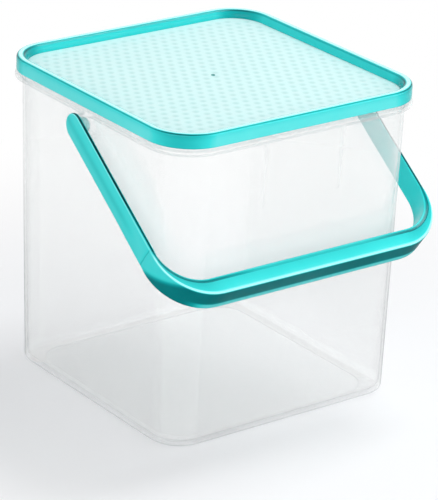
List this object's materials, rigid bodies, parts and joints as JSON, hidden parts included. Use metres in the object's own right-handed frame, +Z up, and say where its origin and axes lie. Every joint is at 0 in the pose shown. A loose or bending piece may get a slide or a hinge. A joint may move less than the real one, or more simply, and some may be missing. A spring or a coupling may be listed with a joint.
{
  "type": "food storage container",
  "caption": "Square clear food keeper with a press-on recessed lid that takes the base of another keeper, and a bail handle that swings over the lid.",
  "frame": {"origin": "middle of the standing ring's plane under the base", "axes": "+X along the handle's two pivots, -Y towards the front where the handle hangs at rest, +Z up"},
  "size_m": [0.239, 0.2417, 0.2363],
  "materials": {
    "clear_polypropylene": "clear, slightly milky moulded polypropylene",
    "teal_lid": "glossy translucent teal with a paler textured panel",
    "teal_handle": "glossy translucent teal"
  },
  "bodies": {
    "container_body": {"container_body": "clear_polypropylene"},
    "lid": {"lid": "teal_lid"},
    "carry_handle": {"carry_handle": "teal_handle"}
  },
  "joints": [
    {"name": "handle_swing", "type": "hinge", "parent": "container_body", "child": "carry_handle", "pos_m": [0, 0, 0.213], "axis": [-1, 0, 0], "range_deg": [-3.2, 255.6]},
    {"name": "lid_lift", "type": "slide", "parent": "container_body", "child": "lid", "axis": [0, 0, 1], "range_m": [0, 0.05]}
  ]
}
